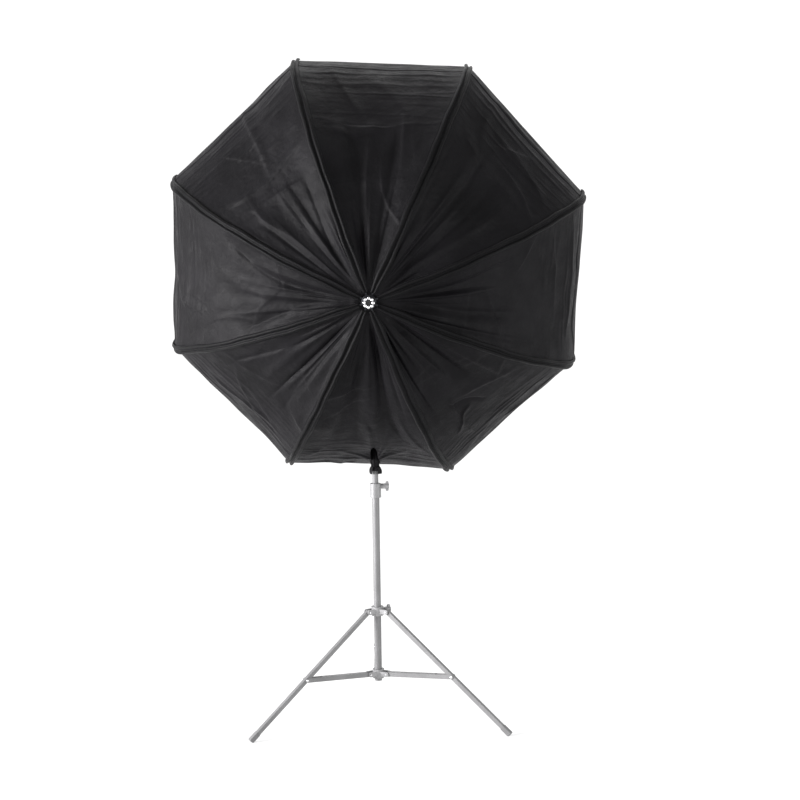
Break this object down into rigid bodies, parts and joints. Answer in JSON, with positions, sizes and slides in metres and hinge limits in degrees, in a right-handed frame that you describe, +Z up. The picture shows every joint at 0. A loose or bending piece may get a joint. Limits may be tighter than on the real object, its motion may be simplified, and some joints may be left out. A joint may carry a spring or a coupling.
{
  "type": "studio softbox on a light stand",
  "caption": "Folding octagonal softbox with a black shell and white front, on an umbrella shaft and tilting bracket, held by a tripod light stand.",
  "frame": {"origin": "centre of the footprint on the floor, on the mast axis", "axes": "+Z up along the mast, +Y towards the lit front of the softbox, -Y towards its closed crown, +X across"},
  "size_m": [1.113, 0.7931, 1.7813],
  "materials": {
    "stand_metal": "satin grey anodised tube",
    "stand_fitting": "fine-textured grey moulding",
    "bright_steel": "polished",
    "pin_steel": "brushed",
    "rubber": "matt grey",
    "black_moulding": "fine-textured black moulding",
    "spring_steel": "blued spring steel, satin",
    "black_fabric": "satin nylon, black outside and silver inside",
    "hem_webbing": "woven black edging",
    "white_fabric": "translucent white woven nylon",
    "silver_tube": "satin"
  },
  "bodies": {
    "stand": {"main_tube": "stand_metal", "tube_end_plug": "stand_fitting", "lower_hub": "stand_fitting", "hub_pivot_pins": "pin_steel", "section_collar": "stand_fitting", "section_bush": "black_moulding"},
    "leg_collar": {"leg_collar": "stand_fitting", "collar_pivot_pins": "pin_steel"},
    "leg_1": {"leg_1": "stand_metal", "foot_cap_1": "rubber", "leg_rivet_1": "pin_steel"},
    "brace_1": {"brace_1": "stand_metal"},
    "leg_2": {"leg_2": "stand_metal", "foot_cap_2": "rubber", "leg_rivet_2": "pin_steel"},
    "brace_2": {"brace_2": "stand_metal"},
    "leg_3": {"leg_3": "stand_metal", "foot_cap_3": "rubber", "leg_rivet_3": "pin_steel"},
    "brace_3": {"brace_3": "stand_metal"},
    "leg_collar_knob": {"leg_collar_knob": "stand_fitting"},
    "section_knob": {"section_knob": "stand_fitting"},
    "upper_tube": {"upper_tube": "stand_metal", "upper_tube_guide": "black_moulding", "spigot_stud": "bright_steel"},
    "bracket_base": {"bracket_base": "black_moulding", "tilt_bolt": "pin_steel"},
    "socket_knob": {"socket_knob": "black_moulding"},
    "bracket_head": {"bracket_head": "black_moulding", "flash_shoe": "black_moulding"},
    "tilt_handle": {"tilt_handle": "black_moulding"},
    "shaft_clamp_screw": {"shaft_clamp_screw": "black_moulding"},
    "shaft": {"shaft": "silver_tube", "shaft_end_cap": "black_moulding", "crown_hub": "spring_steel", "crown_pins": "pin_steel", "crown_cap": "spring_steel", "crown_screw": "black_moulding", "canopy": "black_fabric", "hem_band": "hem_webbing", "diffuser": "white_fabric"},
    "runner": {"runner": "black_moulding", "runner_pins": "pin_steel"},
    "runner_latch": {"runner_latch": "black_moulding"},
    "rib_1": {"rib_1": "spring_steel"},
    "strut_1": {"strut_1": "spring_steel"},
    "rib_2": {"rib_2": "spring_steel"},
    "strut_2": {"strut_2": "spring_steel"},
    "rib_3": {"rib_3": "spring_steel"},
    "strut_3": {"strut_3": "spring_steel"},
    "rib_4": {"rib_4": "spring_steel"},
    "strut_4": {"strut_4": "spring_steel"},
    "rib_5": {"rib_5": "spring_steel"},
    "strut_5": {"strut_5": "spring_steel"},
    "rib_6": {"rib_6": "spring_steel"},
    "strut_6": {"strut_6": "spring_steel"},
    "rib_7": {"rib_7": "spring_steel"},
    "strut_7": {"strut_7": "spring_steel"},
    "rib_8": {"rib_8": "spring_steel"},
    "strut_8": {"strut_8": "spring_steel"}
  },
  "joints": [
    {"name": "leg_fold", "type": "slide", "parent": "stand", "child": "leg_collar", "axis": [0, 0, 1], "range_m": [0, 0.27278]},
    {"name": "leg_1_hinge", "type": "hinge", "parent": "leg_collar", "child": "leg_1", "pos_m": [-0.00209, 0.02993, 0.298], "axis": [-0.9976, -0.0698, 0], "range_deg": [-0.05, 46.14]},
    {"name": "brace_1_hinge", "type": "hinge", "parent": "stand", "child": "brace_1", "pos_m": [-0.00209, 0.02993, 0.124], "axis": [-0.9976, -0.0698, 0], "range_deg": [-79.08, 0.05]},
    {"name": "leg_2_hinge", "type": "hinge", "parent": "leg_collar", "child": "leg_2", "pos_m": [-0.02487, -0.01678, 0.298], "axis": [0.5592, -0.829, 0], "range_deg": [-0.05, 46.14]},
    {"name": "brace_2_hinge", "type": "hinge", "parent": "stand", "child": "brace_2", "pos_m": [-0.02487, -0.01678, 0.124], "axis": [0.5592, -0.829, 0], "range_deg": [-79.08, 0.05]},
    {"name": "leg_3_hinge", "type": "hinge", "parent": "leg_collar", "child": "leg_3", "pos_m": [0.02696, -0.01315, 0.298], "axis": [0.4384, 0.8988, 0], "range_deg": [-0.05, 46.14]},
    {"name": "brace_3_hinge", "type": "hinge", "parent": "stand", "child": "brace_3", "pos_m": [0.02696, -0.01315, 0.124], "axis": [0.4384, 0.8988, 0], "range_deg": [-79.08, 0.05]},
    {"name": "leg_collar_knob_turn", "type": "hinge", "parent": "leg_collar", "child": "leg_collar_knob", "pos_m": [0, 0, 0.298], "axis": [0.829, 0.5592, 0], "continuous": true},
    {"name": "section_knob_turn", "type": "hinge", "parent": "stand", "child": "section_knob", "pos_m": [0, 0, 0.643], "axis": [0.9994, 0.0349, 0], "continuous": true},
    {"name": "upper_tube_slide", "type": "slide", "parent": "stand", "child": "upper_tube", "axis": [0, 0, 1], "range_m": [-0.025, 0.18]},
    {"name": "bracket_swivel", "type": "hinge", "parent": "upper_tube", "child": "bracket_base", "pos_m": [0, 0, 1.147], "axis": [0, 0, 1], "continuous": true},
    {"name": "socket_knob_turn", "type": "hinge", "parent": "bracket_base", "child": "socket_knob", "pos_m": [0, 0, 1.147], "axis": [0, -1, 0], "continuous": true},
    {"name": "bracket_tilt", "type": "hinge", "parent": "bracket_base", "child": "bracket_head", "pos_m": [0, 0, 1.193], "axis": [1, 0, 0], "range_deg": [-10, 8]},
    {"name": "tilt_handle_turn", "type": "hinge", "parent": "bracket_base", "child": "tilt_handle", "pos_m": [0, 0, 1.193], "axis": [1, 0, 0], "range_deg": [-60, 60]},
    {"name": "shaft_clamp_turn", "type": "hinge", "parent": "bracket_head", "child": "shaft_clamp_screw", "pos_m": [0.01, -0.00649, 1.22637], "axis": [-1, 0, 0], "continuous": true},
    {"name": "shaft_slide", "type": "slide", "parent": "bracket_head", "child": "shaft", "axis": [0, 0.9816, 0.1908], "range_m": [-0.004, 0.012]},
    {"name": "umbrella_fold", "type": "slide", "parent": "shaft", "child": "runner", "axis": [0, 0.9816, 0.1908], "range_m": [0, 0.1629], "deforming": ["canopy", "hem_band", "diffuser"]},
    {"name": "runner_latch_press", "type": "slide", "parent": "runner", "child": "runner_latch", "axis": [-0.9986, -0.01, 0.0514], "range_m": [0, 0.002], "stiffness_N_per_m": 300, "springref_m": -0.002},
    {"name": "rib_1_hinge", "type": "hinge", "parent": "shaft", "child": "rib_1", "pos_m": [0.02083, -0.37361, 1.14975], "axis": [0.4305, -0.1722, 0.886], "range_deg": [-0.05, 49.05]},
    {"name": "strut_1_hinge", "type": "hinge", "parent": "runner", "child": "strut_1", "pos_m": [0.01859, -0.27013, 1.16508], "axis": [0.4305, -0.1722, 0.886], "range_deg": [-29.03, 0.05]},
    {"name": "rib_2_hinge", "type": "hinge", "parent": "shaft", "child": "rib_2", "pos_m": [0.01401, -0.37244, 1.14372], "axis": [0.9426, -0.0637, 0.3277], "range_deg": [-0.05, 49.05]},
    {"name": "strut_2_hinge", "type": "hinge", "parent": "runner", "child": "strut_2", "pos_m": [0.0091, -0.26952, 1.16196], "axis": [0.9426, -0.0637, 0.3277], "range_deg": [-29.03, 0.05]},
    {"name": "rib_3_hinge", "type": "hinge", "parent": "shaft", "child": "rib_3", "pos_m": [0.00483, -0.37253, 1.14419], "axis": [0.9026, 0.0821, -0.4226], "range_deg": [-0.05, 49.05]},
    {"name": "strut_3_hinge", "type": "hinge", "parent": "runner", "child": "strut_3", "pos_m": [0.00014, -0.27037, 1.16633], "axis": [0.9026, 0.0821, -0.4226], "range_deg": [-29.03, 0.05]},
    {"name": "rib_4_hinge", "type": "hinge", "parent": "shaft", "child": "rib_4", "pos_m": [-0.00131, -0.37383, 1.15089], "axis": [0.3338, 0.1799, -0.9253], "range_deg": [-0.05, 49.05]},
    {"name": "strut_4_hinge", "type": "hinge", "parent": "runner", "child": "strut_4", "pos_m": [-0.00305, -0.27218, 1.17564], "axis": [0.3338, 0.1799, -0.9253], "range_deg": [-29.03, 0.05]},
    {"name": "rib_5_hinge", "type": "hinge", "parent": "shaft", "child": "rib_5", "pos_m": [-0.00083, -0.37558, 1.15989], "axis": [-0.4305, 0.1722, -0.886], "range_deg": [-0.05, 49.05]},
    {"name": "strut_5_hinge", "type": "hinge", "parent": "runner", "child": "strut_5", "pos_m": [0.00141, -0.27389, 1.18444], "axis": [-0.4305, 0.1722, -0.886], "range_deg": [-29.03, 0.05]},
    {"name": "rib_6_hinge", "type": "hinge", "parent": "shaft", "child": "rib_6", "pos_m": [0.00599, -0.37676, 1.16593], "axis": [-0.9426, 0.0637, -0.3277], "range_deg": [-0.05, 49.05]},
    {"name": "strut_6_hinge", "type": "hinge", "parent": "runner", "child": "strut_6", "pos_m": [0.0109, -0.2745, 1.18757], "axis": [-0.9426, 0.0637, -0.3277], "range_deg": [-29.03, 0.05]},
    {"name": "rib_7_hinge", "type": "hinge", "parent": "shaft", "child": "rib_7", "pos_m": [0.01517, -0.37666, 1.16545], "axis": [-0.9026, -0.0821, 0.4226], "range_deg": [-0.05, 49.05]},
    {"name": "strut_7_hinge", "type": "hinge", "parent": "runner", "child": "strut_7", "pos_m": [0.01986, -0.27365, 1.1832], "axis": [-0.9026, -0.0821, 0.4226], "range_deg": [-29.03, 0.05]},
    {"name": "rib_8_hinge", "type": "hinge", "parent": "shaft", "child": "rib_8", "pos_m": [0.02131, -0.37536, 1.15875], "axis": [-0.3338, -0.1799, 0.9253], "range_deg": [-0.05, 49.05]},
    {"name": "strut_8_hinge", "type": "hinge", "parent": "runner", "child": "strut_8", "pos_m": [0.02305, -0.27183, 1.17388], "axis": [-0.3338, -0.1799, 0.9253], "range_deg": [-29.03, 0.05]}
  ],
  "couplings": [
    {"joint": "leg_1_hinge", "follows": "leg_fold", "rad_per_m": 2.949},
    {"joint": "brace_1_hinge", "follows": "leg_fold", "rad_per_m": -5.0569},
    {"joint": "leg_2_hinge", "follows": "leg_fold", "rad_per_m": 2.949},
    {"joint": "brace_2_hinge", "follows": "leg_fold", "rad_per_m": -5.0569},
    {"joint": "leg_3_hinge", "follows": "leg_fold", "rad_per_m": 2.949},
    {"joint": "brace_3_hinge", "follows": "leg_fold", "rad_per_m": -5.0569},
    {"joint": "rib_1_hinge", "follows": "umbrella_fold", "rad_per_m": 5.2498},
    {"joint": "strut_1_hinge", "follows": "umbrella_fold", "rad_per_m": -3.1048},
    {"joint": "rib_2_hinge", "follows": "umbrella_fold", "rad_per_m": 5.2498},
    {"joint": "strut_2_hinge", "follows": "umbrella_fold", "rad_per_m": -3.1048},
    {"joint": "rib_3_hinge", "follows": "umbrella_fold", "rad_per_m": 5.2498},
    {"joint": "strut_3_hinge", "follows": "umbrella_fold", "rad_per_m": -3.1048},
    {"joint": "rib_4_hinge", "follows": "umbrella_fold", "rad_per_m": 5.2498},
    {"joint": "strut_4_hinge", "follows": "umbrella_fold", "rad_per_m": -3.1048},
    {"joint": "rib_5_hinge", "follows": "umbrella_fold", "rad_per_m": 5.2498},
    {"joint": "strut_5_hinge", "follows": "umbrella_fold", "rad_per_m": -3.1048},
    {"joint": "rib_6_hinge", "follows": "umbrella_fold", "rad_per_m": 5.2498},
    {"joint": "strut_6_hinge", "follows": "umbrella_fold", "rad_per_m": -3.1048},
    {"joint": "rib_7_hinge", "follows": "umbrella_fold", "rad_per_m": 5.2498},
    {"joint": "strut_7_hinge", "follows": "umbrella_fold", "rad_per_m": -3.1048},
    {"joint": "rib_8_hinge", "follows": "umbrella_fold", "rad_per_m": 5.2498},
    {"joint": "strut_8_hinge", "follows": "umbrella_fold", "rad_per_m": -3.1048}
  ]
}
